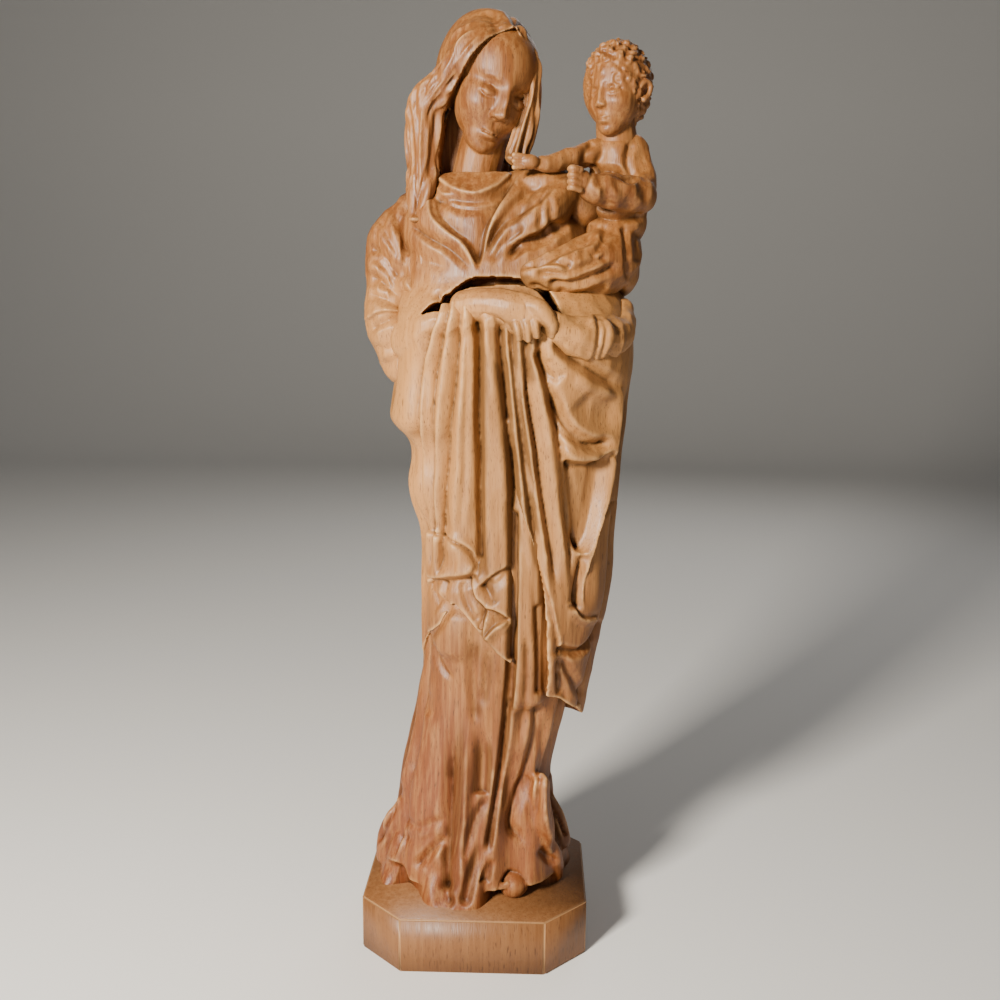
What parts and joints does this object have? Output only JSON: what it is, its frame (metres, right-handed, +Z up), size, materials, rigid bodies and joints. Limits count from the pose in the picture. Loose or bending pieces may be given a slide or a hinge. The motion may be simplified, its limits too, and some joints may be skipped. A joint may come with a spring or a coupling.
{
  "type": "virgin and child statue",
  "caption": "Carved wooden statue of a standing Virgin in a gathered mantle, holding the child on her arm, on an eight-sided plinth.",
  "frame": {"origin": "middle of the plinth's flat underside", "axes": "+Z up, the front faces -Y, +X towards the child and the viewer's right"},
  "size_m": [0.1224, 0.0937, 0.4],
  "materials": {
    "carved_wood": "stained golden brown, satin, with paler worn ridges and dark recesses"
  },
  "bodies": {
    "root": {"virgin_and_child": "carved_wood"}
  },
  "joints": []
}
